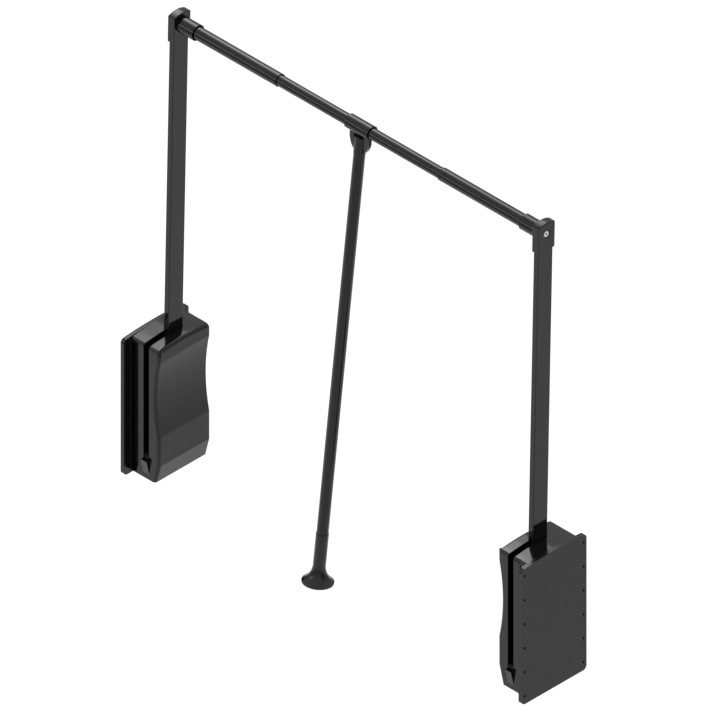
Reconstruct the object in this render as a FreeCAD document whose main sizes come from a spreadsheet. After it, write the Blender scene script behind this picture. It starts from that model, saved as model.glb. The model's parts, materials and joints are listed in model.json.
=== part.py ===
import FreeCAD, Part
import math
import os

import Sketcher

# Pull down closet rod (wardrobe lift). Millimetres.
# X runs from the left housing to the right one, -Y faces the user, +Z is up.
# The origin is on the outer face of the left wall plate, on the axis of the arm pivots.
# Pieces of the swinging frame are drawn with the arm upright and then leaned back about the pivot.

SIZES = [
    # Housing: wall plate, base tray and moulded cover
    ("overall_width", 851.0),
    ("plate_depth", 137.6),
    ("plate_thickness", 7.0),
    ("plate_skin", 1.8),
    ("plate_corner", 7.5),
    ("pivot_above_bottom", 81.0),
    ("plate_corner_height", 248.0),
    ("top_arch_rise", 3.6),
    ("hole_diameter", 4.4),
    ("hole_pitch", 44.0),
    ("hole_rows", 6.0),
    ("hole_edge_margin", 6.5),
    ("lowest_hole_height", 15.0),
    ("cover_setback", 15.4),
    ("cover_bottom_gap", 4.5),
    ("housing_thickness", 66.0),
    ("tray_depth", 12.5),
    ("tray_wall", 3.0),
    ("tray_channel_depth", 8.5),
    ("tray_channel_band", 3.0),
    ("tray_top_band", 7.0),
    ("tray_rib_thickness", 1.6),
    ("cover_wall", 3.0),
    ("cover_floor", 5.0),
    ("corner_block_depth", 11.5),
    ("corner_block_width", 18.0),
    ("corner_post_width", 19.8),
    ("cover_corner", 5.0),
    ("cover_face_wall", 15.0),
    ("top_band_height", 24.0),
    ("waist_height", 138.0),
    ("waist_depth", 7.4),
    ("bevel_height", 33.0),
    ("bevel_width", 8.5),
    ("slot_width", 12.0),
    ("slot_centre", 39.0),
    ("slot_bottom_height", 40.0),
    ("landing_width", 12.7),
    ("landing_reach", 5.8),
    ("landing_height", 26.0),
    # Pivot
    ("axle_diameter", 10.0),
    ("axle_rivet_diameter", 6.0),
    ("axle_socket_depth", 5.0),
    ("bush_wall", 1.6),
    ("spacer_wall", 2.5),
    ("running_gap", 0.08),
    ("face_gap", 0.3),
    # Arm
    ("arm_length", 727.0),
    ("arm_width", 31.0),
    ("arm_thickness", 10.0),
    ("arm_edge_round", 1.2),
    ("rest_lean", 1.3),
    # Gear, rack and spring
    ("gear_module", 2.0),
    ("gear_teeth", 16.0),
    ("gear_width", 9.0),
    ("gear_boss_height", 3.0),
    ("gear_backlash", 0.5),
    ("rivet_diameter", 3.0),
    ("rivet_circle", 9.6),
    ("rack_teeth", 8.0),
    ("rack_width", 12.0),
    ("rack_behind_rod", 7.0),
    ("rack_head_height", 20.0),
    ("rack_foot_height", 45.0),
    ("guide_rod_diameter", 6.0),
    ("guide_rod_inset", 26.4),
    ("guide_bracket_height", 8.0),
    ("guide_bracket_width", 15.0),
    ("guide_rod_top", 145.0),
    ("guide_rod_bottom", -55.0),
    ("spring_wire", 2.0),
    ("spring_mean_diameter", 11.6),
    ("spring_turns", 11.0),
    # Stops and cover screws
    ("stop_width", 9.0),
    ("stop_height", 14.0),
    ("stop_depth", 9.0),
    ("front_stop_setback", 0.8),
    ("stop_level", 126.0),
    ("swing_range", 110.0),
    ("corner_pin_diameter", 4.0),
    ("corner_pin_length", 23.0),
    ("corner_pin_inset", 12.5),
    # Cap and cup at the end of the rod
    ("cap_margin", 2.0),
    ("cap_below_rod", 29.0),
    ("cap_above_rod", 20.5),
    ("cap_arch_rise", 4.4),
    ("cap_edge_round", 1.2),
    ("cap_pocket_above_rod", 10.0),
    ("cap_screw_recess", 14.0),
    ("cap_screw_head", 10.4),
    ("cap_screw_head_height", 1.5),
    ("cap_screw_shank", 5.0),
    ("cap_screw_length", 18.0),
    ("cap_screw_socket", 5.0),
    ("cap_screw_socket_depth", 1.1),
    ("cap_screw_bevel", 0.5),
    ("cup_diameter", 26.6),
    ("cup_length", 33.0),
    ("cup_base", 9.0),
    ("cup_mouth_diameter", 24.6),
    ("cup_mouth_depth", 9.0),
    # Telescopic rod
    ("outer_tube_diameter", 21.6),
    ("outer_tube_wall", 0.9),
    ("inner_tube_diameter", 18.6),
    ("inner_tube_wall", 1.2),
    ("exposed_inner_tube", 344.0),
    ("tube_overlap", 60.0),
    ("guide_bush_length", 14.0),
    ("guide_bush_recess", 1.2),
    ("glide_length", 10.0),
    ("fit_gap", 0.05),
    # Clamp in the middle of the rod
    ("clamp_offset", -1.0),
    ("clamp_length", 48.0),
    ("clamp_diameter", 23.6),
    ("clamp_liner_wall", 1.6),
    ("clamp_liner_recess", 1.0),
    ("cheek_half_width", 19.5),
    ("cheek_thickness", 8.0),
    ("cheek_drop", 47.0),
    ("cheek_shoulder_drop", 16.0),
    ("cheek_tip_height", 4.0),
    ("cheek_bulge", 3.0),
    ("cheek_slot", 21.0),
    ("cheek_slot_top", 12.8),
    ("head_roof_gap", 0.5),
    ("hinge_pin_diameter", 5.0),
    ("hinge_pin_drop", 27.0),
    ("grub_screw_diameter", 4.0),
    # Handle
    ("handle_lean", 6.8),
    ("handle_length", 768.0),
    ("handle_head_diameter", 19.4),
    ("handle_head_length", 20.0),
    ("handle_tube_diameter", 18.6),
    ("handle_tube_wall", 1.2),
    ("handle_plug_length", 30.0),
    ("handle_step", 1.0),
    ("foot_sleeve_diameter", 20.0),
    ("foot_sleeve_height", 85.0),
    ("foot_flare_height", 30.5),
    ("foot_diameter", 50.0),
    ("foot_rim", 2.5),
    ("foot_hollow", 1.5),
    ("foot_flare_bulge", 4.1),
    ("foot_socket_height", 42.0),
]

doc = FreeCAD.newDocument("pull_down_closet_rod")
sheet = doc.addObject("Spreadsheet::Sheet", "Sizes")
for row, (alias, value) in enumerate(SIZES, start=1):
    sheet.set("A%d" % row, alias)
    sheet.set("B%d" % row, str(value))
    sheet.setAlias("B%d" % row, alias)
doc.recompute()


class Size:
    """A length, angle or count with its value and the expression that binds it to the sheet."""

    def __init__(self, value, text):
        self.value = float(value)
        self.text = text

    @staticmethod
    def of(other):
        return other if isinstance(other, Size) else Size(other, repr(float(other)))

    def joined(self, other, sign, value):
        return Size(value, "(%s %s %s)" % (self.text, sign, Size.of(other).text))

    def __add__(self, other):
        return self.joined(other, "+", self.value + Size.of(other).value)

    def __sub__(self, other):
        return self.joined(other, "-", self.value - Size.of(other).value)

    def __mul__(self, other):
        return self.joined(other, "*", self.value * Size.of(other).value)

    def __truediv__(self, other):
        return self.joined(other, "/", self.value / Size.of(other).value)

    def __radd__(self, other):
        return Size.of(other) + self

    def __rsub__(self, other):
        return Size.of(other) - self

    def __rmul__(self, other):
        return Size.of(other) * self

    def __neg__(self):
        return Size(-self.value, "(0 - %s)" % self.text)


def sine(angle):
    return Size(math.sin(math.radians(angle.value)), "sin(%s)" % angle.text)


def cosine(angle):
    return Size(math.cos(math.radians(angle.value)), "cos(%s)" % angle.text)


def tangent(angle):
    return Size(math.tan(math.radians(angle.value)), "tan(%s)" % angle.text)


def root(size):
    return Size(math.sqrt(size.value), "sqrt(%s)" % size.text)


class Sheet:
    """Every driving size under its own name."""


s = Sheet()
for alias, value in SIZES:
    setattr(s, alias, Size(value, "Sizes.%s" % alias))

ZERO = Size(0.0, "0")

QUARTER_TURN = 90

# Places on a sketch's edge, in the order in which the sketcher counts them
EDGE_PLACES = ("whole edge", "start", "end", "centre")
POINT = {place: EDGE_PLACES.index(place) for place in EDGE_PLACES}

# Distance under which two faces or edges count as lying in one place
TOUCHING = 0.01

# Standard gear tooth: pressure angle in degrees, depth below the pitch line in modules
PRESSURE_ANGLE = 20.0
ROOT_DEPTH = 1.25
FLANK_STEPS = 4

# Places worked out from the driving sizes
half_depth = s.plate_depth / 2
plate_bottom = -s.pivot_above_bottom
plate_corner_top = s.plate_corner_height - s.pivot_above_bottom
cover_half_depth = half_depth - s.cover_setback
cover_bottom = plate_bottom + s.cover_bottom_gap
tray_face = s.plate_thickness + s.tray_depth
cover_cavity_face = s.housing_thickness - s.cover_face_wall
slot_start = s.slot_centre - s.slot_width / 2
slot_bottom = plate_bottom + s.slot_bottom_height
hub_clear = s.gear_module * (s.gear_teeth + 2) / 2 + s.cover_wall * 2
bore_diameter = s.axle_diameter + 2 * s.running_gap
bush_diameter = bore_diameter + 2 * s.bush_wall
arm_outer_face = s.slot_centre - s.arm_thickness / 2
arm_inner_face = s.slot_centre + s.arm_thickness / 2
gear_end = arm_outer_face
gear_start = arm_outer_face - s.gear_boss_height - s.gear_width
pitch_radius = s.gear_module * s.gear_teeth / 2
guide_rod_setback = cover_half_depth - s.guide_rod_inset
rack_back = guide_rod_setback + s.rack_behind_rod
rod_height = s.arm_length
cap_outer_face = arm_outer_face - s.cap_margin
cap_inner_face = arm_inner_face + s.cap_margin
cup_end = cap_inner_face + s.cup_length
rod_middle = s.overall_width / 2
outer_tube_end = rod_middle - s.exposed_inner_tube / 2
inner_tube_start = outer_tube_end - s.tube_overlap
inner_tube_end = s.overall_width - inner_tube_start
outer_tube_bore = s.outer_tube_diameter - 2 * s.outer_tube_wall
clamp_middle = rod_middle + s.clamp_offset
grub_place = clamp_middle + s.clamp_length / 2 - s.grub_screw_diameter

nodes = []


def bind(obj, name, size):
    obj.setExpression(name, Size.of(size).text)


def add(kind, name):
    return doc.addObject(kind, name)


def node(obj, label):
    """Marks an object as one sub-part of the product."""
    obj.Label = label
    nodes.append(obj)
    return obj


# Sketches and PartDesign features

def origin_plane(body, role):
    return [f for f in body.Origin.OriginFeatures if f.Role == role][0]


def new_sketch(body, role, offset=(ZERO, ZERO, ZERO)):
    sketch = body.newObject("Sketcher::SketchObject", body.Name + "_sketch")
    sketch.AttachmentSupport = (origin_plane(body, role), [""])
    sketch.MapMode = "FlatFace"
    for axis, size in zip("xyz", offset):
        bind(sketch, "AttachmentOffset.Base." + axis, size)
    return sketch


def fix_point(sketch, geometry, point, place):
    """Holds a sketch point at its distances from the origin, bound to the sheet."""
    for kind, size in zip(("DistanceX", "DistanceY"), place):
        size = Size.of(size)
        index = sketch.addConstraint(Sketcher.Constraint(kind, -1, 1, geometry, point, size.value))
        bind(sketch, "Constraints[%d]" % index, size)


def draw_loop(sketch, corners):
    """Draws a closed loop. A corner with a rise bulges the edge that follows it, to its right if positive."""
    for corner, following in zip(corners, corners[1:] + corners[:1]):
        start = point_of(corner)
        end = point_of(following)
        if len(corner) == 2:
            edge = sketch.addGeometry(Part.LineSegment(start, end))
            fix_point(sketch, edge, POINT["start"], corner)
            fix_point(sketch, edge, POINT["end"], following)
        else:
            draw_arc(sketch, corner, following, start, end)


def point_of(corner):
    return FreeCAD.Vector(Size.of(corner[0]).value, Size.of(corner[1]).value, 0)


def draw_arc(sketch, corner, following, start, end):
    """Holds an arc by its two ends and by its centre's place across the chord."""
    rise = corner[2]
    across = Size.of(following[0]) - corner[0]
    up = Size.of(following[1]) - corner[1]
    span = root(across * across + up * up)
    centre_distance = span * span / 8 / rise - rise / 2
    chord = end - start
    side = FreeCAD.Vector(chord.y, -chord.x, 0).normalize()
    middle = (start + end) * 0.5 + side * rise.value
    if rise.value > 0:
        edge = sketch.addGeometry(Part.ArcOfCircle(start, middle, end))
        first, last = POINT["start"], POINT["end"]
    else:
        edge = sketch.addGeometry(Part.ArcOfCircle(end, middle, start))
        first, last = POINT["end"], POINT["start"]
    fix_point(sketch, edge, first, corner[:2])
    fix_point(sketch, edge, last, following[:2])
    if abs(across.value) > abs(up.value):
        kind = "DistanceY"
        centre = (Size.of(corner[1]) + following[1]) / 2 + across / span * centre_distance
    else:
        kind = "DistanceX"
        centre = (Size.of(corner[0]) + following[0]) / 2 - up / span * centre_distance
    held = sketch.addConstraint(Sketcher.Constraint(kind, -1, 1, edge, POINT["centre"], centre.value))
    bind(sketch, "Constraints[%d]" % held, centre)


def draw_circle(sketch, across, up, diameter):
    centre = FreeCAD.Vector(Size.of(across).value, Size.of(up).value, 0)
    circle = sketch.addGeometry(Part.Circle(centre, FreeCAD.Vector(0, 0, 1), diameter.value / 2))
    fix_point(sketch, circle, POINT["centre"], (across, up))
    held = sketch.addConstraint(Sketcher.Constraint("Diameter", circle, diameter.value))
    bind(sketch, "Constraints[%d]" % held, diameter)


def rectangle(left, right, bottom, top):
    return [(left, bottom), (right, bottom), (right, top), (left, top)]


def pad(body, sketch, length, both_ways=False):
    feature = body.newObject("PartDesign::Pad", body.Name + "_pad")
    feature.Profile = sketch
    bind(feature, "Length", length)
    feature.Midplane = both_ways
    return feature


def pocket(body, sketch, length, forward=True, both_ways=False):
    """Cuts along the sketch's normal when forward, against it when not."""
    feature = body.newObject("PartDesign::Pocket", body.Name + "_pocket")
    feature.Profile = sketch
    bind(feature, "Length", length)
    feature.Midplane = both_ways
    feature.Reversed = forward
    return feature


def revolve(body, sketch, axis="H_Axis"):
    feature = body.newObject("PartDesign::Revolution", body.Name + "_turn")
    feature.Profile = sketch
    feature.ReferenceAxis = (sketch, [axis])
    feature.Angle = 360.0
    return feature


def round_edges(body, radius, chosen):
    """Rounds the edges of the body that the given test picks out."""
    doc.recompute()
    base = body.Tip
    names = ["Edge%d" % (i + 1) for i, edge in enumerate(base.Shape.Edges) if chosen(edge)]
    feature = body.newObject("PartDesign::Fillet", body.Name + "_round")
    feature.Base = (base, names)
    bind(feature, "Radius", radius)
    return feature


def new_body(label):
    return node(add("PartDesign::Body", label), label)


def lean_back(obj):
    """Turns a piece of the swinging frame to where it rests, leaning back about the pivot."""
    obj.Placement = FreeCAD.Placement(
        FreeCAD.Vector(0, 0, 0), FreeCAD.Rotation(FreeCAD.Vector(-1, 0, 0), s.rest_lean.value))
    bind(obj, "Placement.Rotation.Angle", s.rest_lean)
    return obj


def turned_about_rod(label, profile, height):
    """A body of revolution about a line along X at the given height. Profile points are (x, radius)."""
    body = new_body(label)
    sketch = new_sketch(body, "XZ_Plane", (ZERO, height, ZERO))
    draw_loop(sketch, profile)
    revolve(body, sketch)
    return body


def parallel_x(direction):
    return abs(direction.x) > 0.999


def straight(edge):
    return isinstance(edge.Curve, Part.Line)


# Part primitives

def block(name, x, y, z):
    """A box between pairs of bound places."""
    box = add("Part::Box", name)
    for side, axis, (low, high) in zip(("Length", "Width", "Height"), "xyz", (x, y, z)):
        bind(box, side, high - low)
        bind(box, "Placement.Base." + axis, low)
    return box


def round_bar(name, axis, diameter, start, end, place):
    """A cylinder along X, Y or Z from start to end; place gives its two other coordinates in order."""
    bar = add("Part::Cylinder", name)
    bind(bar, "Radius", diameter / 2)
    bind(bar, "Height", end - start)
    turn = {"x": ((0, 1, 0), 90), "y": ((-1, 0, 0), 90), "z": ((0, 0, 1), 0)}[axis]
    turned = FreeCAD.Rotation(FreeCAD.Vector(*turn[0]), turn[1])
    bar.Placement = FreeCAD.Placement(FreeCAD.Vector(0, 0, 0), turned)
    others = [a for a in "xyz" if a != axis]
    bind(bar, "Placement.Base." + axis, start)
    bind(bar, "Placement.Base." + others[0], place[0])
    bind(bar, "Placement.Base." + others[1], place[1])
    return bar


def fused(name, *pieces):
    joined = add("Part::MultiFuse", name)
    joined.Shapes = list(pieces)
    return joined


def cut(name, base, *tools):
    result = add("Part::Cut", name)
    result.Base = base
    result.Tool = tools[0] if len(tools) == 1 else fused(name + "_tools", *tools)
    return result


def ring_along_x(name, outer, inner, start, end, height):
    """A plain bush with its axis along X."""
    return cut(name, round_bar(name + "_bar", "x", outer, start, end, (ZERO, height)),
               round_bar(name + "_bore", "x", inner, start, end, (ZERO, height)))


def group(label, pieces):
    """Identical small pieces that share one node."""
    together = add("Part::Compound", label)
    together.Links = list(pieces)
    return node(together, label)


# Housing

def arched_outline(half, bottom, corner_top, rise):
    """Upright outline with a shallow arch on top, seen along X."""
    return [(-half, bottom), (half, bottom), (half, corner_top, rise), (-half, corner_top)]


def make_mounting_plate():
    body = new_body("left_mounting_plate")
    outline = new_sketch(body, "YZ_Plane")
    draw_loop(outline, arched_outline(half_depth, plate_bottom, plate_corner_top, s.top_arch_rise))
    pad(body, outline, s.plate_thickness)
    round_edges(body, s.plate_corner, lambda e: straight(e) and parallel_x(e.Curve.Direction))
    holes = new_sketch(body, "YZ_Plane")
    column = half_depth - s.hole_edge_margin
    level = plate_bottom + s.lowest_hole_height
    for side in (-column, column):
        draw_circle(holes, side, level, s.hole_diameter)
    drilled = pocket(body, holes, s.plate_thickness)
    doc.recompute()
    rows = body.newObject("PartDesign::LinearPattern", "left_plate_hole_rows")
    rows.Originals = [drilled]
    rows.Direction = (holes, ["V_Axis"])
    bind(rows, "Length", s.hole_pitch * (s.hole_rows - 1))
    bind(rows, "Occurrences", s.hole_rows)
    body.Tip = rows
    doc.recompute()
    sockets = new_sketch(body, "YZ_Plane", (ZERO, ZERO, s.plate_skin))
    draw_circle(sockets, ZERO, ZERO, s.axle_rivet_diameter + 2 * s.fit_gap)
    for y, z in corner_pin_places():
        draw_circle(sockets, y, z, s.corner_pin_diameter + 2 * s.fit_gap)
    pocket(body, sockets, s.plate_thickness - s.plate_skin)
    return body


def corner_pin_places():
    """The four corners where blind pins join the plate, the tray and the cover."""
    across = cover_half_depth - s.corner_pin_inset
    low = cover_bottom + s.corner_pin_inset
    high = plate_corner_top - s.corner_pin_inset
    return [(-across, low), (across, low), (-across, high), (across, high)]


def make_base_tray():
    """Ring behind the cover, with an upright channel in its front and a thin rib beside the plate."""
    body = new_body("left_base_tray")
    ring = new_sketch(body, "YZ_Plane", (ZERO, ZERO, s.plate_thickness))
    front = -cover_half_depth
    channel = front + s.tray_channel_depth
    low = cover_bottom + s.tray_channel_band
    high = plate_corner_top - s.tray_top_band
    draw_loop(ring, [
        (front, cover_bottom), (cover_half_depth, cover_bottom),
        (cover_half_depth, plate_corner_top, s.top_arch_rise),
        (front, plate_corner_top), (front, high), (channel, high), (channel, low), (front, low)])
    post = s.corner_post_width
    draw_loop(ring, rectangle(
        channel + s.tray_wall, cover_half_depth - s.tray_wall, cover_bottom + post, plate_corner_top - post))
    pad(body, ring, s.tray_depth)

    def upper_corner(edge):
        box = edge.BoundBox
        outer = abs(box.Center.y + cover_half_depth.value) < TOUCHING and box.YLength < TOUCHING
        return outer and box.XLength > TOUCHING and box.ZMin > high.value + TOUCHING

    round_edges(body, s.cover_corner, upper_corner)
    rib = new_sketch(body, "YZ_Plane", (ZERO, ZERO, s.plate_thickness))
    draw_loop(rib, rectangle(front, channel + s.tray_wall / 2, low - s.tray_wall / 2, high + s.tray_wall / 2))
    pad(body, rib, s.tray_rib_thickness)
    holes = new_sketch(body, "YZ_Plane", (ZERO, ZERO, s.plate_thickness))
    for y, z in corner_pin_places():
        draw_circle(holes, y, z, s.corner_pin_diameter + 2 * s.fit_gap)
    pocket(body, holes, s.tray_depth)
    return body


def make_cover():
    """Moulded cover: waisted front face, bevelled foot, arm slot over the front and the top."""
    body = new_body("left_cover")
    face = s.housing_thickness
    waist_top = plate_corner_top + s.top_arch_rise - s.top_band_height
    waist_bottom = waist_top - s.waist_height
    bevel_top = cover_bottom + s.bevel_height
    roof = plate_corner_top + s.top_arch_rise
    profile = new_sketch(body, "XZ_Plane")
    draw_loop(profile, [
        (tray_face, cover_bottom), (face - s.bevel_width, cover_bottom), (face, bevel_top),
        (face, waist_bottom, -s.waist_depth), (face, waist_top), (face, roof), (tray_face, roof)])
    pad(body, profile, cover_half_depth * 2, both_ways=True)
    doc.recompute()
    above = new_sketch(body, "YZ_Plane", (ZERO, ZERO, tray_face))
    spare = s.top_arch_rise * 2
    draw_loop(above, [
        (-cover_half_depth, plate_corner_top, -s.top_arch_rise),
        (cover_half_depth, plate_corner_top), (cover_half_depth, roof + spare),
        (-cover_half_depth, roof + spare)])
    pocket(body, above, face)
    rim = s.cover_corner.value

    def outer_edge(edge):
        box = edge.BoundBox
        on_side = abs(box.Center.y + cover_half_depth.value) < TOUCHING and box.YLength < TOUCHING
        facing_room = box.XMin > cover_cavity_face.value - rim
        along_roof = box.ZMin > (waist_top + s.cover_corner).value and box.YLength > cover_half_depth.value
        roof_corner = on_side and box.XLength > rim and box.ZMin > waist_top.value
        return roof_corner or facing_room and (on_side and box.ZLength > rim or along_roof)

    round_edges(body, s.cover_corner, outer_edge)
    cavity = new_sketch(body, "YZ_Plane", (ZERO, ZERO, tray_face))
    inner = cover_half_depth - s.cover_wall
    floor = cover_bottom + s.cover_floor
    draw_loop(cavity, [
        (-inner, slot_bottom), (-hub_clear, slot_bottom), (-hub_clear, floor), (inner, floor),
        (inner, plate_corner_top - s.cover_wall, s.top_arch_rise), (-inner, plate_corner_top - s.cover_wall)])
    pocket(body, cavity, cover_cavity_face - tray_face)
    blocks = new_sketch(body, "YZ_Plane", (ZERO, ZERO, tray_face))
    deep = s.corner_block_width
    skin = s.cover_wall / 2
    front = (-cover_half_depth + skin, -cover_half_depth + deep)
    back = (cover_half_depth - deep, cover_half_depth - skin)
    upper = (plate_corner_top - deep, plate_corner_top - skin)
    lower = (floor - skin, cover_bottom + deep)
    for across, up in ((front, upper), (back, upper), (back, lower)):
        draw_loop(blocks, rectangle(*across, *up))
    pad(body, blocks, s.corner_block_depth)
    holes = new_sketch(body, "YZ_Plane", (ZERO, ZERO, tray_face))
    for y, z in corner_pin_places():
        draw_circle(holes, y, z, s.corner_pin_diameter + 2 * s.fit_gap)
    pocket(body, holes, s.corner_block_depth - skin)
    slot = new_sketch(body, "YZ_Plane", (ZERO, ZERO, slot_start))
    slot_back = s.arm_width / 2 + s.cover_setback
    draw_loop(slot, rectangle(-half_depth, slot_back, slot_bottom, roof + spare))
    pocket(body, slot, s.slot_width)
    socket = new_sketch(body, "YZ_Plane", (ZERO, ZERO, cover_cavity_face))
    draw_circle(socket, ZERO, ZERO, bore_diameter)
    pocket(body, socket, s.axle_socket_depth + s.face_gap)
    add_landing(body)
    return body


def add_landing(body):
    """Wedge under the slot that widens the seat for the lowered arm."""
    wedge = new_sketch(body, "YZ_Plane", (ZERO, ZERO, s.slot_centre - s.landing_width / 2))
    root = s.cover_wall / 2 - cover_half_depth
    front = -cover_half_depth
    draw_loop(wedge, [
        (root, slot_bottom - s.landing_height), (root, slot_bottom), (front - s.landing_reach, slot_bottom),
        (front, slot_bottom - s.landing_height)])
    pad(body, wedge, s.landing_width)


def make_pivot():
    """Fixed axle between plate and cover, with spacers either side of the hub."""
    axle_end = cover_cavity_face + s.axle_socket_depth
    body = new_body("left_pivot_axle")
    outline = new_sketch(body, "XZ_Plane")
    radius = s.axle_diameter / 2
    stub = s.axle_rivet_diameter / 2
    draw_loop(outline, [
        (s.plate_skin, ZERO), (axle_end, ZERO), (axle_end, radius), (s.plate_thickness, radius),
        (s.plate_thickness, stub), (s.plate_skin, stub)])
    revolve(body, outline)
    spacer = bore_diameter + 2 * s.spacer_wall
    wall_side = (s.plate_thickness, gear_start - s.face_gap)
    room_side = (arm_inner_face + s.face_gap, cover_cavity_face)
    group("left_axle_spacers", [
        ring_along_x("left_spacer_wall_side", spacer, bore_diameter, *wall_side, ZERO),
        ring_along_x("left_spacer_room_side", spacer, bore_diameter, *room_side, ZERO)])


def tooth_flank(module, teeth, backlash):
    """One flank of an involute tooth as (radius, angle from the tooth's middle) pairs, root first."""
    pressure = math.radians(PRESSURE_ANGLE)
    pitch = module * teeth / 2
    base = pitch * math.cos(pressure)
    root_radius = pitch - ROOT_DEPTH * module
    start = max(base, root_radius)
    tip = pitch + module
    half_tooth = math.pi / 2 / teeth - backlash / 2 / pitch
    flank = []
    for step in range(FLANK_STEPS + 1):
        radius = start + (tip - start) * step / FLANK_STEPS
        roll = math.acos(min(1.0, base / radius))
        flank.append((radius, half_tooth + math.tan(pressure) - pressure - math.tan(roll) + roll))
    return [(root_radius, flank[0][1])] + flank


def make_hub_gear():
    """Toothed hub on the foot of the arm. Its teeth follow the involute, so it is drawn by formula."""
    module = s.gear_module.value
    teeth = int(s.gear_teeth.value)
    start = gear_start.value
    length = gear_end.value - start
    flank = tooth_flank(module, teeth, s.gear_backlash.value)
    points = []
    for tooth in range(teeth):
        middle = 2 * math.pi * (tooth + 0.5) / teeth + math.radians(s.rest_lean.value)
        rising = [(radius, middle - angle) for radius, angle in flank]
        falling = [(radius, middle + angle) for radius, angle in reversed(flank)]
        for radius, turn in rising + falling:
            points.append(FreeCAD.Vector(start, radius * math.cos(turn), radius * math.sin(turn)))
    along = FreeCAD.Vector(1, 0, 0)
    toothed = Part.Face(Part.makePolygon(points + points[:1])).extrude(along * s.gear_width.value)
    boss_radius = s.rivet_circle.value + s.rivet_diameter.value / 2 + s.bush_wall.value
    solid = toothed.fuse(Part.makeCylinder(boss_radius, length, FreeCAD.Vector(start, 0, 0), along))
    bore = bush_diameter.value / 2 + s.fit_gap.value
    solid = solid.cut(Part.makeCylinder(bore, length, FreeCAD.Vector(start, 0, 0), along))
    rivet_bore = s.rivet_diameter.value / 2 + s.fit_gap.value
    for y, z in rivet_places():
        place = FreeCAD.Vector(start, y.value, z.value)
        solid = solid.cut(Part.makeCylinder(rivet_bore, length, place, along))
    gear = add("Part::Feature", "left_hub_gear")
    gear.Shape = solid.removeSplitter()
    return node(gear, "left_hub_gear")


def rivet_places():
    """Three rivets on a circle round the bush, in the arm's own frame."""
    places = []
    for turn in (90, 210, 330):
        across = s.rivet_circle * round(math.cos(math.radians(turn)), 6)
        up = s.rivet_circle * round(math.sin(math.radians(turn)), 6)
        places.append((across, up))
    return places


def make_rack():
    """Rack behind the hub, riding on the guide rod; the hub lifts it as the arm comes down."""
    body = new_body("left_rack")
    middle = gear_start + s.gear_width / 2
    root_line = pitch_radius + s.gear_module * ROOT_DEPTH
    blank = new_sketch(body, "YZ_Plane", (ZERO, ZERO, middle - s.rack_width / 2))
    draw_loop(blank, rectangle(root_line, rack_back, -s.rack_foot_height, s.rack_head_height))
    pad(body, blank, s.rack_width)
    tooth = new_sketch(body, "YZ_Plane", (ZERO, ZERO, middle - s.gear_width / 2))
    pitch = s.gear_module * math.pi
    slope = math.tan(math.radians(PRESSURE_ANGLE))
    half_tip = pitch / 4 - s.gear_module * slope - s.gear_backlash / 4
    half_root = pitch / 4 + s.gear_module * slope * ROOT_DEPTH - s.gear_backlash / 4
    tip = pitch_radius - s.gear_module
    first = -pitch * (s.rack_teeth - 2)
    draw_loop(tooth, [
        (root_line, first - half_root), (root_line, first + half_root),
        (tip, first + half_tip), (tip, first - half_tip)])
    one = pad(body, tooth, s.gear_width)
    doc.recompute()
    row = body.newObject("PartDesign::LinearPattern", "left_rack_teeth")
    row.Originals = [one]
    row.Direction = (tooth, ["V_Axis"])
    bind(row, "Length", pitch * (s.rack_teeth - 1))
    bind(row, "Occurrences", s.rack_teeth)
    body.Tip = row
    doc.recompute()
    bore = new_sketch(body, "XY_Plane", (ZERO, ZERO, -s.rack_foot_height))
    draw_circle(bore, middle, guide_rod_setback, s.guide_rod_diameter + 2 * s.running_gap)
    pocket(body, bore, s.rack_foot_height + s.rack_head_height)
    return body


def make_spring_set():
    """Return spring over the rack, its guide rod and the two brackets that hold the rod to the plate."""
    middle = gear_start + s.gear_width / 2
    place = (middle, guide_rod_setback)
    node(round_bar("left_guide_rod", "z", s.guide_rod_diameter, s.guide_rod_bottom, s.guide_rod_top, place),
         "left_guide_rod")
    half = s.guide_bracket_width / 2
    edge = middle + s.guide_rod_diameter
    depth = (guide_rod_setback - half, guide_rod_setback + half)
    brackets = []
    for name, low in (("upper", s.guide_rod_top - s.guide_bracket_height), ("lower", s.guide_rod_bottom)):
        arm = block("left_%s_bracket_block" % name, (s.plate_thickness, edge), depth,
                    (low, low + s.guide_bracket_height))
        hole = round_bar("left_%s_bracket_hole" % name, "z", s.guide_rod_diameter + 2 * s.fit_gap, low,
                         low + s.guide_bracket_height, place)
        brackets.append(cut("left_%s_bracket" % name, arm, hole))
    group("left_rod_brackets", brackets)
    seat_low = s.rack_head_height + s.spring_wire / 2 + s.fit_gap
    seat_high = s.guide_rod_top - s.guide_bracket_height - s.spring_wire / 2 - s.fit_gap
    helix = add("Part::Helix", "left_spring_path")
    bind(helix, "Pitch", (seat_high - seat_low) / s.spring_turns)
    bind(helix, "Height", seat_high - seat_low)
    bind(helix, "Radius", s.spring_mean_diameter / 2)
    helix.SegmentLength = 1.0
    section = add("Part::Circle", "left_spring_section")
    bind(section, "Radius", s.spring_wire / 2)
    section.Placement.Rotation = FreeCAD.Rotation(FreeCAD.Vector(1, 0, 0), 90)
    bind(section, "Placement.Base.x", s.spring_mean_diameter / 2)
    coil = add("Part::Sweep", "left_return_spring")
    coil.Sections = [section]
    coil.Spine = (helix, [])
    coil.Solid = True
    coil.Frenet = True
    for axis, size in zip("xyz", (middle, guide_rod_setback, seat_low)):
        bind(coil, "Placement.Base." + axis, size)
    return node(coil, "left_return_spring")


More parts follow.
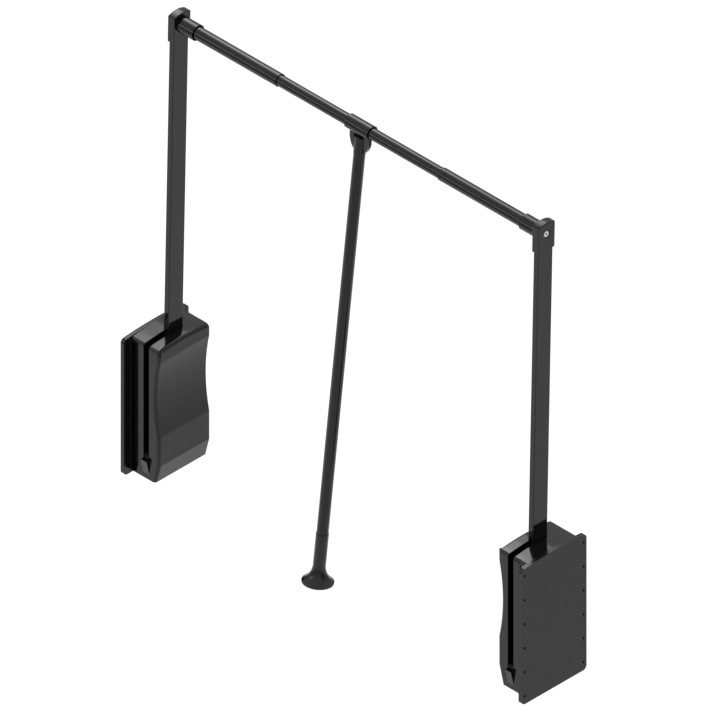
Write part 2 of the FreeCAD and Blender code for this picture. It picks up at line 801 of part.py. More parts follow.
def make_stops():
    """Rubber stops: one behind the raised arm, one under the lowered arm at the foot of the slot."""
    across = (s.slot_centre - s.stop_width / 2, s.slot_centre + s.stop_width / 2)
    half_arm = s.arm_width / 2
    low = s.stop_level
    high = low + s.stop_height
    arm_back = half_arm / cosine(s.rest_lean) + high * tangent(s.rest_lean) + s.face_gap
    rear_wall = cover_half_depth - s.cover_wall
    node(block("left_back_stop", across, (arm_back, rear_wall), (low, high)), "left_back_stop")
    below = s.swing_range - QUARTER_TURN - s.rest_lean
    front = -cover_half_depth + s.front_stop_setback
    arm_low = front * tangent(below) - half_arm / cosine(below) - s.face_gap
    pad_depth = (front, front + s.stop_depth)
    node(block("left_front_stop", across, pad_depth, (slot_bottom, arm_low)), "left_front_stop")


def make_corner_pins():
    """Four steel pins pressed into blind holes of plate, tray and cover, so that no head shows."""
    start = s.plate_skin + s.fit_gap
    pins = []
    for index, place in enumerate(corner_pin_places()):
        pin = "left_corner_pin_%d" % index
        pins.append(round_bar(pin, "x", s.corner_pin_diameter, start, start + s.corner_pin_length, place))
    group("left_corner_pins", pins)


# Swinging frame

def make_arm():
    body = new_body("left_arm")
    outline = new_sketch(body, "YZ_Plane", (ZERO, ZERO, arm_outer_face))
    half = s.arm_width / 2
    top = rod_height + s.cap_pocket_above_rod
    draw_loop(outline, [(-half, ZERO, half), (half, ZERO), (half, top), (-half, top)])
    pad(body, outline, s.arm_thickness)
    round_edges(body, s.arm_edge_round, lambda e: e.BoundBox.ZLength > s.arm_length.value / 2)
    holes = new_sketch(body, "YZ_Plane", (ZERO, ZERO, arm_outer_face))
    draw_circle(holes, ZERO, ZERO, bush_diameter + 2 * s.fit_gap)
    draw_circle(holes, ZERO, rod_height, s.cap_screw_shank + 2 * s.fit_gap)
    for y, z in rivet_places():
        draw_circle(holes, y, z, s.rivet_diameter + 2 * s.fit_gap)
    pocket(body, holes, s.arm_thickness)
    lean_back(body)
    return body


def make_hub_fittings():
    group("left_arm_bush", [
        ring_along_x("left_arm_bush_ring", bush_diameter, bore_diameter, gear_start, arm_inner_face, ZERO)])
    rivets = []
    for index, (y, z) in enumerate(rivet_places()):
        rivet = "left_rivet_%d" % index
        rivets.append(round_bar(rivet, "x", s.rivet_diameter, gear_start, arm_inner_face, (y, z)))
    lean_back(group("left_hub_rivets", rivets))


def make_cap():
    """Moulded cap over the arm's head, with an arched top and a sunk place for its screw."""
    body = new_body("left_rod_cap")
    half = s.arm_width / 2 + s.cap_margin
    shoulder = s.cap_above_rod - s.cap_arch_rise
    outline = new_sketch(body, "YZ_Plane", (ZERO, rod_height, cap_outer_face))
    draw_loop(outline, arched_outline(half, -s.cap_below_rod, shoulder, s.cap_arch_rise))
    pad(body, outline, cap_inner_face - cap_outer_face)
    hollow = new_sketch(body, "YZ_Plane", (ZERO, rod_height, arm_outer_face - s.fit_gap))
    inner = s.arm_width / 2 + s.fit_gap
    draw_loop(hollow, rectangle(-inner, inner, -s.cap_below_rod, s.cap_pocket_above_rod + s.fit_gap))
    pocket(body, hollow, s.arm_thickness + 2 * s.fit_gap)
    passage = new_sketch(body, "YZ_Plane", (ZERO, rod_height, cap_outer_face))
    draw_circle(passage, ZERO, ZERO, s.cap_screw_shank + 2 * s.fit_gap)
    pocket(body, passage, cap_inner_face - cap_outer_face)
    recess = new_sketch(body, "YZ_Plane", (ZERO, rod_height, cap_outer_face))
    draw_circle(recess, ZERO, ZERO, s.cap_screw_recess)
    pocket(body, recess, s.cap_margin)
    crown = (rod_height + shoulder).value

    def outer_edge(edge):
        box = edge.BoundBox
        upright = box.YLength < TOUCHING and abs(abs(box.Center.y) - half.value) < TOUCHING
        return box.XLength < TOUCHING and (upright or box.ZMin > crown - TOUCHING)

    round_edges(body, s.cap_edge_round, outer_edge)
    return lean_back(body)


def make_cup():
    """Round cup on the cap, which the outer tube stands in."""
    seat = s.outer_tube_diameter / 2 + s.fit_gap
    hole = s.cap_screw_shank / 2 + s.fit_gap
    mouth = s.cup_mouth_diameter / 2
    outer = s.cup_diameter / 2
    base_end = cap_inner_face + s.cup_base
    mouth_start = cup_end - s.cup_mouth_depth
    body = turned_about_rod("left_rod_cup", [
        (cap_inner_face, hole), (base_end, hole), (base_end, seat), (mouth_start, seat), (mouth_start, mouth),
        (cup_end, mouth), (cup_end, outer), (cap_inner_face, outer)], rod_height)
    return lean_back(body)


def make_cap_screw():
    """Socket head screw through cap and arm into the cup."""
    head_face = arm_outer_face - s.cap_screw_head_height
    tip = arm_outer_face + s.cap_screw_length
    head = s.cap_screw_head / 2
    shank = s.cap_screw_shank / 2
    bevel = s.cap_screw_bevel
    body = turned_about_rod("left_cap_screw", [
        (head_face, ZERO), (tip, ZERO), (tip, shank), (arm_outer_face, shank), (arm_outer_face, head),
        (head_face + bevel, head), (head_face, head - bevel)], rod_height)
    socket = new_sketch(body, "YZ_Plane", (ZERO, rod_height, head_face))
    key = s.cap_screw_socket / 2
    corners = []
    for side in range(6):
        turn = math.radians(60 * side)
        corners.append((key * round(math.cos(turn), 6), key * round(math.sin(turn), 6)))
    draw_loop(socket, corners)
    pocket(body, socket, s.cap_screw_socket_depth)
    return lean_back(body)


def make_outer_tube():
    start = cap_inner_face + s.cup_base
    inner = outer_tube_bore / 2
    outer = s.outer_tube_diameter / 2
    return lean_back(turned_about_rod("left_outer_tube", [
        (start, inner), (outer_tube_end, inner), (outer_tube_end, outer), (start, outer)], rod_height))


def make_guide_bush():
    end = outer_tube_end - s.guide_bush_recess
    start = end - s.guide_bush_length
    inner = s.inner_tube_diameter / 2 + s.running_gap
    outer = outer_tube_bore / 2 - s.fit_gap
    return lean_back(turned_about_rod("left_guide_bush", [
        (start, inner), (end, inner), (end, outer), (start, outer)], rod_height))


def make_inner_tube():
    outer = s.inner_tube_diameter / 2
    inner = outer - s.inner_tube_wall
    return lean_back(turned_about_rod("inner_tube", [
        (inner_tube_start, inner), (inner_tube_end, inner),
        (inner_tube_end, outer), (inner_tube_start, outer)], rod_height))


# Clamp and handle

def make_clamp():
    """Sleeve with two cheeks below it that take the handle between them."""
    start = clamp_middle - s.clamp_length / 2
    end = start + s.clamp_length
    bore = s.inner_tube_diameter / 2 + s.clamp_liner_wall
    body = turned_about_rod("clamp_sleeve", [
        (start, bore), (end, bore), (end, s.clamp_diameter / 2), (start, s.clamp_diameter / 2)], rod_height)
    cheeks = new_sketch(body, "XZ_Plane", (clamp_middle, rod_height, ZERO))
    wide = s.cheek_half_width
    shoulder = -s.cheek_shoulder_drop
    collar = -(bore + (s.clamp_diameter / 2 - bore) / 2)
    slot = s.cheek_slot / 2
    tip = s.cheek_tip_height - s.cheek_drop
    bulge = s.cheek_bulge
    roof = -s.cheek_slot_top
    draw_loop(cheeks, [
        (-wide, collar), (-wide, shoulder, bulge), (-slot, tip), (-slot, roof),
        (slot, roof), (slot, tip, bulge), (wide, shoulder), (wide, collar)])
    pad(body, cheeks, s.cheek_thickness, both_ways=True)
    bolt = new_sketch(body, "YZ_Plane", (ZERO, rod_height - s.hinge_pin_drop, clamp_middle - wide))
    draw_circle(bolt, ZERO, ZERO, s.hinge_pin_diameter + 2 * s.fit_gap)
    pocket(body, bolt, wide * 2)
    drill_grub_hole(body)
    return lean_back(body)


def drill_grub_hole(body):
    """Hole on the underside near one end of the sleeve, for the screw that grips the tube."""
    hole = new_sketch(body, "XY_Plane", (grub_place, ZERO, rod_height))
    draw_circle(hole, ZERO, ZERO, s.grub_screw_diameter + 2 * s.fit_gap)
    pocket(body, hole, s.clamp_diameter, forward=False)


def make_clamp_fittings():
    """Plastic liner, grub screw and the pin that carries the handle."""
    start = clamp_middle - s.clamp_length / 2 + s.clamp_liner_recess
    end = clamp_middle + s.clamp_length / 2 - s.clamp_liner_recess
    tube = s.inner_tube_diameter / 2 + s.fit_gap
    outer = s.inner_tube_diameter / 2 + s.clamp_liner_wall - s.fit_gap
    liner = turned_about_rod("clamp_liner", [
        (start, tube), (end, tube), (end, outer), (start, outer)], rod_height)
    drill_grub_hole(liner)
    lean_back(liner)
    screw = round_bar("clamp_grub_screw_bar", "z", s.grub_screw_diameter, rod_height - s.clamp_diameter / 2,
                      rod_height - tube, (grub_place, ZERO))
    lean_back(group("clamp_grub_screw", [screw]))
    half = s.cheek_half_width - s.cheek_bulge / 2
    axis = (ZERO, rod_height - s.hinge_pin_drop)
    ends = (clamp_middle - half, clamp_middle + half)
    pin = round_bar("handle_hinge_pin_bar", "x", s.hinge_pin_diameter, *ends, axis)
    lean_back(group("handle_hinge_pin", [pin]))


def make_tube_glides():
    """Plastic rings on the ends of the inner tube, which keep it from rattling in the outer tubes."""
    tube = s.inner_tube_diameter + 2 * s.fit_gap
    outer = outer_tube_bore - 2 * s.running_gap
    rings = []
    for name, start in (("left", inner_tube_start), ("right", inner_tube_end - s.glide_length)):
        end = start + s.glide_length
        rings.append(ring_along_x("inner_tube_%s_glide" % name, outer, tube, start, end, rod_height))
    lean_back(group("inner_tube_glides", rings))


def hang(obj):
    """Places a piece of the handle, drawn straight down from the hinge pin, at its resting lean."""
    turn = FreeCAD.Rotation(FreeCAD.Vector(-1, 0, 0), s.handle_lean.value)
    obj.Placement = FreeCAD.Placement(FreeCAD.Vector(0, 0, 0), turn)
    pin = rod_height - s.hinge_pin_drop
    bind(obj, "Placement.Rotation.Angle", s.handle_lean)
    for axis, size in zip("xyz", (clamp_middle, pin * sine(s.rest_lean), pin * cosine(s.rest_lean))):
        bind(obj, "Placement.Base." + axis, size)
    return obj


def turned_about_handle(label, profile):
    """A body of revolution about the handle. Profile points are (radius, height from the pin)."""
    body = new_body(label)
    sketch = new_sketch(body, "XZ_Plane")
    draw_loop(sketch, profile)
    revolve(body, sketch, "V_Axis")
    return body


def make_handle():
    head = s.handle_head_diameter / 2
    bore = s.handle_tube_diameter / 2 - s.handle_tube_wall
    plug = bore - s.fit_gap
    crown = s.hinge_pin_drop - s.cheek_slot_top - s.head_roof_gap
    shoulder = root(crown * crown - head * head)
    half_chord = root(head * head + (crown - shoulder) * (crown - shoulder)) / 2
    dome = crown - root(crown * crown - half_chord * half_chord)
    low = -s.handle_head_length
    plug_end = low - s.handle_plug_length
    body = turned_about_handle("handle_head", [
        (ZERO, plug_end), (plug, plug_end), (plug, low), (head - s.fit_gap, low),
        (head, low + s.handle_step), (head, shoulder, dome), (ZERO, crown)])
    cross = new_sketch(body, "YZ_Plane")
    draw_circle(cross, ZERO, ZERO, s.hinge_pin_diameter + 2 * s.running_gap)
    pocket(body, cross, s.handle_head_diameter, both_ways=True)
    hang(body)
    outer = s.handle_tube_diameter / 2
    rim = -s.handle_length
    tube_end = rim + s.foot_socket_height
    hang(turned_about_handle("handle_tube", [(bore, tube_end), (outer, tube_end), (outer, low), (bore, low)]))
    sleeve = s.foot_sleeve_diameter / 2
    foot = s.foot_diameter / 2
    socket = outer + s.fit_gap
    flare = rim + s.foot_flare_height
    hang(turned_about_handle("handle_foot", [
        (ZERO, rim + s.foot_hollow), (foot - s.foot_rim, rim + s.foot_hollow), (foot - s.foot_rim, rim),
        (foot, rim),
        (foot, rim + s.foot_rim, -s.foot_flare_bulge), (sleeve, flare), (sleeve, rim + s.foot_sleeve_height),
        (socket, rim + s.foot_sleeve_height), (socket, tube_end), (ZERO, tube_end)]))


# Assembly of the left side, then the rod and handle, then the right side as its mirror image

def mirror_to_right(source):
    label = source.Label.replace("left_", "right_", 1)
    twin = add("Part::Mirroring", label)
    twin.Source = source
    twin.Normal = FreeCAD.Vector(1, 0, 0)
    twin.Base = FreeCAD.Vector(rod_middle.value, 0, 0)
    bind(twin, "Base.x", rod_middle)
    return node(twin, label)


def main():
    make_mounting_plate()
    make_base_tray()
    make_cover()
    make_pivot()
    make_rack()
    make_spring_set()
    make_stops()
    make_corner_pins()
    make_arm()
    lean_back(make_hub_gear())
    make_hub_fittings()
    make_cap()
    make_cup()
    make_cap_screw()
    make_outer_tube()
    make_guide_bush()
    left_side = list(nodes)
    make_inner_tube()
    make_tube_glides()
    make_clamp()
    make_clamp_fittings()
    make_handle()
    for source in left_side:
        mirror_to_right(source)
    doc.recompute()
    export_nodes()


def export_nodes():
    """Checks every object of the document, then writes each sub-part to its own file."""
    for obj in doc.Objects:
        if "Invalid" in obj.State or "Error" in obj.State:
            raise RuntimeError("%s failed: %s" % (obj.Label, obj.State))
    for piece in nodes:
        if piece.Shape.isNull() or not piece.Shape.isValid():
            raise RuntimeError("%s has no valid shape" % piece.Label)
    os.makedirs("parts", exist_ok=True)
    for piece in nodes:
        piece.Shape.exportStep("parts/%s.step" % piece.Label)
        print("%-24s volume %10.1f solids %d" % (piece.Label, piece.Shape.Volume, len(piece.Shape.Solids)))


main()
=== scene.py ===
"""Looks of the pull down closet rod: coated arms, moulded plates and housings, glossy rail tubes."""

import json

import bmesh
import bpy
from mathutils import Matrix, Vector


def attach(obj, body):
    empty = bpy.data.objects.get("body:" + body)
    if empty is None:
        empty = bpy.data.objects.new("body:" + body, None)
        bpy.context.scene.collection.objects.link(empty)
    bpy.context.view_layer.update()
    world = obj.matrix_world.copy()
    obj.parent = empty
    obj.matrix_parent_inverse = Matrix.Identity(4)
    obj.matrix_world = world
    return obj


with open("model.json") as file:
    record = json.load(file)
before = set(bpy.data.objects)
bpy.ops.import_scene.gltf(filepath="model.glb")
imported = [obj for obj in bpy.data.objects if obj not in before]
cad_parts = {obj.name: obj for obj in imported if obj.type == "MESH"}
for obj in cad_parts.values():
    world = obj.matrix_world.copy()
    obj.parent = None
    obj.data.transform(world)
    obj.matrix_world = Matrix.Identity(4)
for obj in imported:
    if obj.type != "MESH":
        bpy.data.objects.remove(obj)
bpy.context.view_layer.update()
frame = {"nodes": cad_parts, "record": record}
nodes = frame["nodes"]


# ---- shader node groups shared by several finishes ----

def add_socket(group, name, kind, way, value=None):
    socket = group.interface.new_socket(name=name, in_out=way, socket_type=kind)
    if value is not None:
        socket.default_value = value
    return socket


def speckle_group():
    """Fine grain of a powder coat or an eroded mould: a height and a slow, faint mottling mask."""
    group = bpy.data.node_groups.new("Fine Grain", "ShaderNodeTree")
    add_socket(group, "Grain Size", "NodeSocketFloat", "INPUT", 900.0)
    add_socket(group, "Mottle Size", "NodeSocketFloat", "INPUT", 22.0)
    add_socket(group, "Height", "NodeSocketFloat", "OUTPUT")
    add_socket(group, "Mottle", "NodeSocketFloat", "OUTPUT")
    n, link = group.nodes, group.links
    entry = n.new("NodeGroupInput")
    leave = n.new("NodeGroupOutput")
    place = n.new("ShaderNodeTexCoord")
    fine = n.new("ShaderNodeTexNoise")
    fine.inputs["Detail"].default_value = 2.0
    cells = n.new("ShaderNodeTexVoronoi")
    cells.feature = "SMOOTH_F1"
    both = n.new("ShaderNodeMath")
    both.operation = "MULTIPLY_ADD"
    both.inputs[1].default_value = 0.5
    slow = n.new("ShaderNodeTexNoise")
    slow.inputs["Detail"].default_value = 4.0
    slow.inputs["Roughness"].default_value = 0.6
    link.new(place.outputs["Object"], fine.inputs["Vector"])
    link.new(place.outputs["Object"], cells.inputs["Vector"])
    link.new(place.outputs["Object"], slow.inputs["Vector"])
    link.new(entry.outputs["Grain Size"], fine.inputs["Scale"])
    link.new(entry.outputs["Grain Size"], cells.inputs["Scale"])
    link.new(entry.outputs["Mottle Size"], slow.inputs["Scale"])
    link.new(cells.outputs["Distance"], both.inputs[0])
    link.new(fine.outputs["Fac"], both.inputs[2])
    link.new(both.outputs["Value"], leave.inputs["Height"])
    link.new(slow.outputs["Fac"], leave.inputs["Mottle"])
    return group


def edge_wear_group():
    """A mask that is 1 on sharp outer edges, broken up as handling wears a coat."""
    group = bpy.data.node_groups.new("Edge Rub", "ShaderNodeTree")
    add_socket(group, "Amount", "NodeSocketFloat", "INPUT", 0.5)
    add_socket(group, "Patch Size", "NodeSocketFloat", "INPUT", 60.0)
    add_socket(group, "Rub", "NodeSocketFloat", "OUTPUT")
    n, link = group.nodes, group.links
    entry = n.new("NodeGroupInput")
    leave = n.new("NodeGroupOutput")
    shape = n.new("ShaderNodeNewGeometry")
    edge = n.new("ShaderNodeMapRange")
    edge.inputs["From Min"].default_value = 0.52
    edge.inputs["From Max"].default_value = 0.62
    place = n.new("ShaderNodeTexCoord")
    patches = n.new("ShaderNodeTexNoise")
    patches.inputs["Detail"].default_value = 5.0
    keep = n.new("ShaderNodeMapRange")
    keep.inputs["From Min"].default_value = 0.42
    keep.inputs["From Max"].default_value = 0.62
    share = n.new("ShaderNodeMath")
    share.operation = "MULTIPLY"
    total = n.new("ShaderNodeMath")
    total.operation = "MULTIPLY"
    link.new(shape.outputs["Pointiness"], edge.inputs["Value"])
    link.new(place.outputs["Object"], patches.inputs["Vector"])
    link.new(entry.outputs["Patch Size"], patches.inputs["Scale"])
    link.new(patches.outputs["Fac"], keep.inputs["Value"])
    link.new(edge.outputs["Result"], share.inputs[0])
    link.new(keep.outputs["Result"], share.inputs[1])
    link.new(share.outputs["Value"], total.inputs[0])
    link.new(entry.outputs["Amount"], total.inputs[1])
    link.new(total.outputs["Value"], leave.inputs["Rub"])
    return group


fine_grain = speckle_group()
edge_rub = edge_wear_group()


def finish_material(name, dark, light, rough, rough_spread, grain, grain_depth, rub=0.0, rub_colour=None,
                    metallic=0.0, specular=0.5):
    """A finish between two tones, with its own grain size, grain depth in metres, gloss and edge rub."""
    material = bpy.data.materials.new(name)
    material.use_nodes = True
    n, link = material.node_tree.nodes, material.node_tree.links
    shader = n["Principled BSDF"]
    shader.inputs["Metallic"].default_value = metallic
    shader.inputs["Specular IOR Level"].default_value = specular
    surface = n.new("ShaderNodeGroup")
    surface.node_tree = fine_grain
    surface.inputs["Grain Size"].default_value = grain
    wear = n.new("ShaderNodeGroup")
    wear.node_tree = edge_rub
    wear.inputs["Amount"].default_value = rub
    tone = n.new("ShaderNodeMix")
    tone.data_type = "RGBA"
    tone.inputs["A"].default_value = (*dark, 1.0)
    tone.inputs["B"].default_value = (*light, 1.0)
    worn = n.new("ShaderNodeMix")
    worn.data_type = "RGBA"
    worn.inputs["B"].default_value = (*(rub_colour or light), 1.0)
    gloss = n.new("ShaderNodeMapRange")
    gloss.inputs["From Min"].default_value = 0.25
    gloss.inputs["From Max"].default_value = 0.75
    gloss.inputs["To Min"].default_value = rough - rough_spread
    gloss.inputs["To Max"].default_value = rough + rough_spread
    relief = n.new("ShaderNodeBump")
    relief.inputs["Strength"].default_value = 1.0
    relief.inputs["Distance"].default_value = grain_depth
    link.new(surface.outputs["Mottle"], tone.inputs["Factor"])
    link.new(tone.outputs["Result"], worn.inputs["A"])
    link.new(wear.outputs["Rub"], worn.inputs["Factor"])
    link.new(worn.outputs["Result"], shader.inputs["Base Color"])
    link.new(surface.outputs["Mottle"], gloss.inputs["Value"])
    link.new(gloss.outputs["Result"], shader.inputs["Roughness"])
    link.new(surface.outputs["Height"], relief.inputs["Height"])
    link.new(relief.outputs["Normal"], shader.inputs["Normal"])
    return material


coated_arm = finish_material(
    "Glossy charcoal coat", (0.0038, 0.0038, 0.0041), (0.0052, 0.0052, 0.0056), 0.075, 0.012,
    900.0, 0.0000015, specular=0.33)
plate_plastic = finish_material(
    "Satin black wall plate", (0.0085, 0.0085, 0.0089), (0.0105, 0.0105, 0.0109), 0.17, 0.02,
    1600.0, 0.000003, 0.2, (0.020, 0.020, 0.021), specular=0.30)
moulded = finish_material(
    "Glossy moulded housing", (0.0044, 0.0044, 0.0047), (0.0058, 0.0058, 0.0062), 0.10, 0.015,
    1800.0, 0.000002, 0.2, (0.018, 0.018, 0.019), specular=0.33)
glossy_tube = finish_material(
    "Glossy black tube", (0.0042, 0.0042, 0.0045), (0.0058, 0.0058, 0.0062), 0.14, 0.02,
    700.0, 0.000002, 0.2, (0.018, 0.018, 0.019), specular=0.34)
dark_pin = finish_material(
    "Blackened pin", (0.006, 0.006, 0.006), (0.010, 0.010, 0.010), 0.3, 0.04,
    900.0, 0.000004, 0.3, (0.03, 0.03, 0.03), specular=0.3)
matte_black = finish_material(
    "Matte black slide plastic", (0.006, 0.006, 0.006), (0.010, 0.010, 0.011), 0.5, 0.06,
    1500.0, 0.00001, specular=0.3)
foot_plastic = finish_material(
    "Satin grip foot", (0.0065, 0.0065, 0.0068), (0.0085, 0.0085, 0.0089), 0.20, 0.02,
    1200.0, 0.000003, specular=0.38)
stop_rubber = finish_material(
    "Stop rubber", (0.010, 0.010, 0.010), (0.018, 0.018, 0.018), 0.75, 0.08,
    900.0, 0.00003, specular=0.2)
zinc = finish_material(
    "Bright zinc plate", (0.55, 0.56, 0.58), (0.72, 0.73, 0.75), 0.24, 0.07,
    500.0, 0.00001, 0.3, (0.85, 0.85, 0.86), metallic=1.0)
spring_wire = finish_material(
    "Oiled spring wire", (0.16, 0.16, 0.17), (0.26, 0.26, 0.27), 0.33, 0.06,
    800.0, 0.00001, metallic=1.0)

FINISH_OF_SLOT = {
    "coated_steel": coated_arm,
    "plate_plastic": plate_plastic,
    "housing_plastic": moulded,
    "tube_metal": glossy_tube,
    "bright_steel": zinc,
    "spring_steel": spring_wire,
    "black_plastic": matte_black,
    "stop_rubber": stop_rubber,
}


def dress(name, material):
    """Gives a CAD node one finish all over."""
    mesh = nodes[name].data
    mesh.materials.clear()
    mesh.materials.append(material)


for part in frame["record"]["subparts"]:
    dress(part["node"], FINISH_OF_SLOT[part["material_slot"]])
dress("handle_hinge_pin", dark_pin)
dress("handle_foot", foot_plastic)


def paint_socket_shade(material, middle_y, middle_z, radius):
    """Paints shade into the drive socket in the head of the screw that closes the rod cap: a near-black
    disc in the base colour.
    """
    n, link = material.node_tree.nodes, material.node_tree.links
    shader = n["Principled BSDF"]
    painted = shader.inputs["Base Color"].links[0].from_socket
    place = n.new("ShaderNodeTexCoord")
    across = n.new("ShaderNodeVectorMath")
    across.operation = "MULTIPLY"
    across.inputs[1].default_value = (0.0, 1.0, 1.0)
    reach = n.new("ShaderNodeVectorMath")
    reach.operation = "DISTANCE"
    reach.inputs[1].default_value = (0.0, middle_y, middle_z)
    hole = n.new("ShaderNodeMath")
    hole.operation = "LESS_THAN"
    hole.inputs[1].default_value = radius
    socket_shade = n.new("ShaderNodeMix")
    socket_shade.data_type = "RGBA"
    # painted shade: near-black base colour inside the socket radius stands in for the shadow in the recess
    socket_shade.inputs["B"].default_value = (0.0015, 0.0015, 0.0015, 1.0)
    link.new(place.outputs["Object"], across.inputs[0])
    link.new(across.outputs["Vector"], reach.inputs[0])
    link.new(reach.outputs["Value"], hole.inputs[0])
    link.new(hole.outputs["Value"], socket_shade.inputs["Factor"])
    link.new(painted, socket_shade.inputs["A"])
    link.new(socket_shade.outputs["Result"], shader.inputs["Base Color"])


SIDES = ("left", "right")
ROD_AXIS_Y, ROD_AXIS_Z = 0.01649, 0.72681
SOCKET_RADIUS = 0.0013
screw_head = finish_material("Bright cap screw", (0.70, 0.70, 0.71), (0.80, 0.80, 0.81), 0.35, 0.05,
                             1200.0, 0.000002, metallic=0.6)
# painted shade in the drive socket of both cap screw heads
paint_socket_shade(screw_head, ROD_AXIS_Y, ROD_AXIS_Z, SOCKET_RADIUS)
for side in SIDES:
    dress(side + "_cap_screw", screw_head)


# ---- rounded roof rim of the covers and the filled tail of the arm slot ----

OVERALL_WIDTH = 0.851
COVER_FACE = 0.066
ROOF_CROWN = 0.1706
ROOF_RADIUS = 0.39785
SLOT_NEAR, SLOT_FAR = 0.033, 0.045
SLOT_TAIL_START, SLOT_TAIL_END = 0.0202, 0.0312
SLOT_TAIL_FLOOR = 0.1600
SLOT_TAIL_STEPS = 8
TAIL_BELOW_ROOF = 0.0001
TAIL_LEAD_IN, TAIL_LEAD_HEIGHT = 0.0015, 0.0015
RIM_RADIUS = 0.0058
RIM_STEPS = 8
RIM_LOWEST = 0.1662
RIM_FRONT_END = -0.0488
ON_FACE = 0.0002
WELD_DISTANCE = 0.000005


def roof_height(y):
    """Height of the arched roof at a depth y."""
    return ROOF_CROWN - y * y / (2.0 * ROOF_RADIUS)


def across_the_part(x, side):
    """A distance from the left wall face, mirrored for the right side."""
    return x if side == "left" else OVERALL_WIDTH - x


def round_roof_rim(side):
    """Rounds the long edge between a cover's roof and its room face."""
    cover = nodes[side + "_cover"]
    face = across_the_part(COVER_FACE, side)
    rim = cover.vertex_groups.new(name="roof_rim")
    for vertex in cover.data.vertices:
        spot = cover.matrix_world @ vertex.co
        if abs(spot.x - face) < ON_FACE and spot.z > RIM_LOWEST and spot.y > RIM_FRONT_END:
            rim.add([vertex.index], 1.0, "REPLACE")
    weld = cover.modifiers.new("join_faces", "WELD")
    weld.merge_threshold = WELD_DISTANCE
    soft = cover.modifiers.new("roof_rim", "BEVEL")
    soft.limit_method = "VGROUP"
    soft.vertex_group = "roof_rim"
    soft.width = RIM_RADIUS
    soft.segments = RIM_STEPS
    soft.use_clamp_overlap = False
    soft.loop_slide = False
    soft.harden_normals = True


def fill_slot_tail(side):
    """The closed end of the roof slot behind the arm, arched as the roof is."""
    length = SLOT_TAIL_END - SLOT_TAIL_START
    top = [SLOT_TAIL_START + length * i / SLOT_TAIL_STEPS for i in range(SLOT_TAIL_STEPS + 1)]
    outline = [(y, roof_height(y) - TAIL_BELOW_ROOF) for y in top]
    outline += [
        (SLOT_TAIL_END, SLOT_TAIL_FLOOR),
        (SLOT_TAIL_START + TAIL_LEAD_IN, SLOT_TAIL_FLOOR),
        (SLOT_TAIL_START, SLOT_TAIL_FLOOR + TAIL_LEAD_HEIGHT),
    ]
    mesh = bpy.data.meshes.new(side + "_slot_tail")
    form = bmesh.new()
    ends = []
    for x in (SLOT_NEAR, SLOT_FAR):
        ends.append([form.verts.new((across_the_part(x, side), y, z)) for y, z in outline])
    form.faces.new(ends[0])
    form.faces.new(list(reversed(ends[1])))
    for i in range(len(outline)):
        after = (i + 1) % len(outline)
        form.faces.new((ends[0][i], ends[1][i], ends[1][after], ends[0][after]))
    bmesh.ops.recalc_face_normals(form, faces=form.faces)
    form.to_mesh(mesh)
    form.free()
    tail = bpy.data.objects.new(side + "_slot_tail", mesh)
    bpy.context.scene.collection.objects.link(tail)
    mesh.materials.append(moulded)
    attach(tail, side + "_housing")


for side in SIDES:
    round_roof_rim(side)
    fill_slot_tail(side)


# ---- floor, light and camera ----

FLOOR_LEVEL = -0.62
FLOOR_REACH = 30.0
FLOOR_GLOW, FAR_FLOOR_GLOW = 0.55, 0.12
GLOW_FADE_START, GLOW_FADE_END = 2.0, 6.0


def make_floor():
    """Pale floor that glows evenly for the camera and fades away in reflections."""
    mesh = bpy.data.meshes.new("studio_floor")
    form = bmesh.new()
    bmesh.ops.create_grid(form, x_segments=8, y_segments=8, size=FLOOR_REACH)
    form.to_mesh(mesh)
    form.free()
    floor = bpy.data.objects.new("studio_floor", mesh)
    floor.location = (0.4, 0.0, FLOOR_LEVEL)
    bpy.context.scene.collection.objects.link(floor)
    material = bpy.data.materials.new("Studio floor")
    material.use_nodes = True
    n, link = material.node_tree.nodes, material.node_tree.links
    shader = n["Principled BSDF"]
    shader.inputs["Base Color"].default_value = (0.82, 0.82, 0.82, 1.0)
    shader.inputs["Roughness"].default_value = 0.9
    shader.inputs["Specular IOR Level"].default_value = 0.0
    shader.inputs["Emission Color"].default_value = (1.0, 1.0, 1.0, 1.0)
    seen = n.new("ShaderNodeLightPath")
    place = n.new("ShaderNodeTexCoord")
    reach = n.new("ShaderNodeVectorMath")
    reach.operation = "LENGTH"
    fade = n.new("ShaderNodeMapRange")
    fade.interpolation_type = "SMOOTHSTEP"
    fade.inputs["From Min"].default_value = GLOW_FADE_START
    fade.inputs["From Max"].default_value = GLOW_FADE_END
    fade.inputs["To Min"].default_value = FLOOR_GLOW
    fade.inputs["To Max"].default_value = FAR_FLOOR_GLOW
    mirrored = n.new("ShaderNodeMath")
    mirrored.operation = "MAXIMUM"
    faded = n.new("ShaderNodeMath")
    faded.operation = "MULTIPLY"
    plain = n.new("ShaderNodeMath")
    plain.operation = "MULTIPLY"
    plain.inputs[1].default_value = FLOOR_GLOW
    share = n.new("ShaderNodeMath")
    share.operation = "ADD"
    link.new(place.outputs["Object"], reach.inputs[0])
    link.new(reach.outputs["Value"], fade.inputs["Value"])
    link.new(seen.outputs["Is Glossy Ray"], mirrored.inputs[0])
    link.new(seen.outputs["Is Transmission Ray"], mirrored.inputs[1])
    link.new(mirrored.outputs["Value"], faded.inputs[0])
    link.new(fade.outputs["Result"], faded.inputs[1])
    link.new(seen.outputs["Is Camera Ray"], plain.inputs[0])
    link.new(plain.outputs["Value"], share.inputs[0])
    link.new(faded.outputs["Value"], share.inputs[1])
    link.new(share.outputs["Value"], shader.inputs["Emission Strength"])
    mesh.materials.append(material)


SKY_LIGHT = 0.45


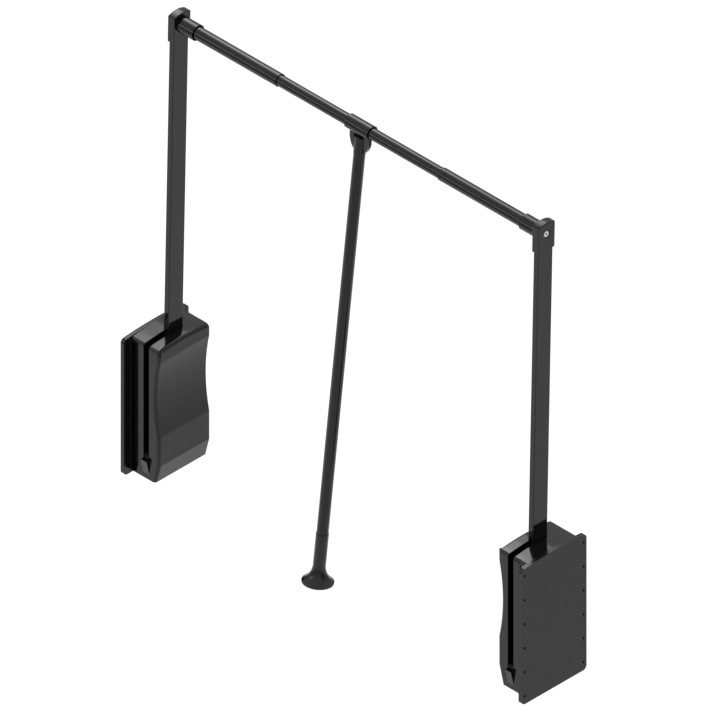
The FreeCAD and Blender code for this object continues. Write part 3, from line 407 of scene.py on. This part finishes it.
def make_world():
    """Plain light from all round, white behind the object and dimmer near the horizon in reflections."""
    world = bpy.data.worlds.new("Studio")
    bpy.context.scene.world = world
    world.use_nodes = True
    n, link = world.node_tree.nodes, world.node_tree.links
    back = n["Background"]
    back.inputs["Color"].default_value = (1.0, 1.0, 1.0, 1.0)
    seen = n.new("ShaderNodeLightPath")
    way = n.new("ShaderNodeTexCoord")
    parts = n.new("ShaderNodeSeparateXYZ")
    sky = n.new("ShaderNodeMapRange")
    sky.inputs["From Min"].default_value = 0.05
    sky.inputs["From Max"].default_value = 0.55
    sky.inputs["To Min"].default_value = SKY_LIGHT
    sky.inputs["To Max"].default_value = 1.0
    mirrored = n.new("ShaderNodeMath")
    mirrored.operation = "MAXIMUM"
    in_mirror = n.new("ShaderNodeMix")
    in_mirror.inputs["A"].default_value = SKY_LIGHT
    in_camera = n.new("ShaderNodeMix")
    in_camera.inputs["B"].default_value = 1.0
    link.new(way.outputs["Generated"], parts.inputs["Vector"])
    link.new(parts.outputs["Z"], sky.inputs["Value"])
    link.new(seen.outputs["Is Glossy Ray"], mirrored.inputs[0])
    link.new(seen.outputs["Is Transmission Ray"], mirrored.inputs[1])
    link.new(mirrored.outputs["Value"], in_mirror.inputs["Factor"])
    link.new(sky.outputs["Result"], in_mirror.inputs["B"])
    link.new(seen.outputs["Is Camera Ray"], in_camera.inputs["Factor"])
    link.new(in_mirror.outputs["Result"], in_camera.inputs["A"])
    link.new(in_camera.outputs["Result"], back.inputs["Strength"])


def make_lamp(name, place, target, size, power):
    data = bpy.data.lights.new(name, "AREA")
    data.shape = "ELLIPSE"
    data.size, data.size_y = size
    data.energy = power
    lamp = bpy.data.objects.new(name, data)
    lamp.location = place
    lamp.rotation_euler = (Vector(target) - Vector(place)).to_track_quat("-Z", "Y").to_euler()
    bpy.context.scene.collection.objects.link(lamp)


MIDDLE = Vector((0.4391, 0.0, 0.3143))
SOFTBOX_WAY = Vector((-0.56, 0.36, 0.75))
SOFTBOX_DISTANCE = 2.6
SOFTBOX_STEP = 0.02
SOFTBOXES = ((0.7, 2.2), (1.25, 7.5), (1.9, 15.0))  # width in metres and watts, from the inner one outward
STRIP_PLACE = MIDDLE + Vector((-0.577, -0.74, 0.345)) * 3.0
STRIP_SIZE = (2.0, 0.5)
STRIP_POWER = 6.5
VIEW_WIDTH = 1.08
VIEW_DISTANCE = 12.0


def make_camera():
    """Isometric view from the front right, above."""
    data = bpy.data.cameras.new("view_camera")
    data.type = "ORTHO"
    data.ortho_scale = VIEW_WIDTH
    data.clip_end = 100.0
    camera = bpy.data.objects.new("view_camera", data)
    sight = Vector((1.0, -1.0, 1.0)).normalized()
    camera.location = MIDDLE + sight * VIEW_DISTANCE
    camera.rotation_euler = (-sight).to_track_quat("-Z", "Y").to_euler()
    bpy.context.scene.collection.objects.link(camera)
    bpy.context.scene.camera = camera


make_floor()
make_world()
for ring, (size, power) in enumerate(SOFTBOXES):
    place = MIDDLE + SOFTBOX_WAY * (SOFTBOX_DISTANCE + SOFTBOX_STEP * ring)
    make_lamp("overhead_softbox_%d" % ring, place, MIDDLE, (size, size), power)
make_lamp("front_strip_light", STRIP_PLACE, MIDDLE, STRIP_SIZE, STRIP_POWER)
make_camera()

bpy.context.scene.view_settings.view_transform = "Standard"
